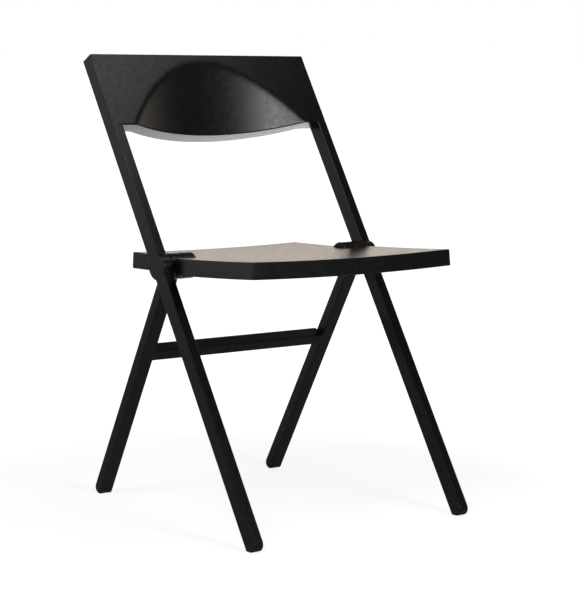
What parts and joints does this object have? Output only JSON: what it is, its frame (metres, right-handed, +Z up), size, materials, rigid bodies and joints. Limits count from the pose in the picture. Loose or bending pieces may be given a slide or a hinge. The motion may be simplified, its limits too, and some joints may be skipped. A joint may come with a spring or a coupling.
{
  "type": "folding chair",
  "caption": "Slim folding chair in black moulded plastic: backrest and front legs in one frame, rear legs and seat turning on the same hub axis.",
  "frame": {"origin": "on the floor, at the middle of the open chair's footprint and width", "axes": "+Z up, -Y towards the front of the seat, +X towards the sitter's left"},
  "size_m": [0.478, 0.5156, 0.7868],
  "materials": {
    "moulded_plastic": "black glass-filled polypropylene, satin, very fine grain",
    "glide_rubber": "black thermoplastic rubber, matte",
    "bush_plastic": "dark acetal, smooth",
    "bolt_steel": "black-oxide steel",
    "insert_brass": "yellow passivated steel",
    "cap_plastic": "black nylon, satin"
  },
  "bodies": {
    "back_frame": {"back_frame": "moulded_plastic", "front_glide_left": "glide_rubber", "front_glide_right": "glide_rubber", "leg_stop_pin_left": "bolt_steel", "leg_stop_pin_right": "bolt_steel", "threaded_insert_left": "insert_brass", "threaded_insert_right": "insert_brass", "axle_bolt_left": "bolt_steel", "axle_bolt_right": "bolt_steel", "outer_washer_left": "bush_plastic", "outer_washer_right": "bush_plastic", "head_washer_left": "bolt_steel", "head_washer_right": "bolt_steel", "seat_stop_pin_left": "bolt_steel", "seat_stop_pin_right": "bolt_steel"},
    "rear_leg_frame": {"rear_leg_frame": "moulded_plastic", "rear_glide_left": "glide_rubber", "rear_glide_right": "glide_rubber", "rear_leg_bush_left": "bush_plastic", "rear_leg_bush_right": "bush_plastic", "inner_washer_left": "bush_plastic", "inner_washer_right": "bush_plastic"},
    "seat": {"seat_shell": "moulded_plastic", "seat_bush_left": "bush_plastic", "seat_bush_right": "bush_plastic", "hub_cap_left": "cap_plastic", "hub_cap_right": "cap_plastic"}
  },
  "joints": [
    {"name": "rear_leg_fold", "type": "hinge", "parent": "back_frame", "child": "rear_leg_frame", "pos_m": [0, 0.02608, 0.435], "axis": [-1, 0, 0], "range_deg": [0, 58.8]},
    {"name": "seat_fold", "type": "hinge", "parent": "back_frame", "child": "seat", "pos_m": [0, 0.02608, 0.435], "axis": [-1, 0, 0], "range_deg": [0, 119]}
  ]
}
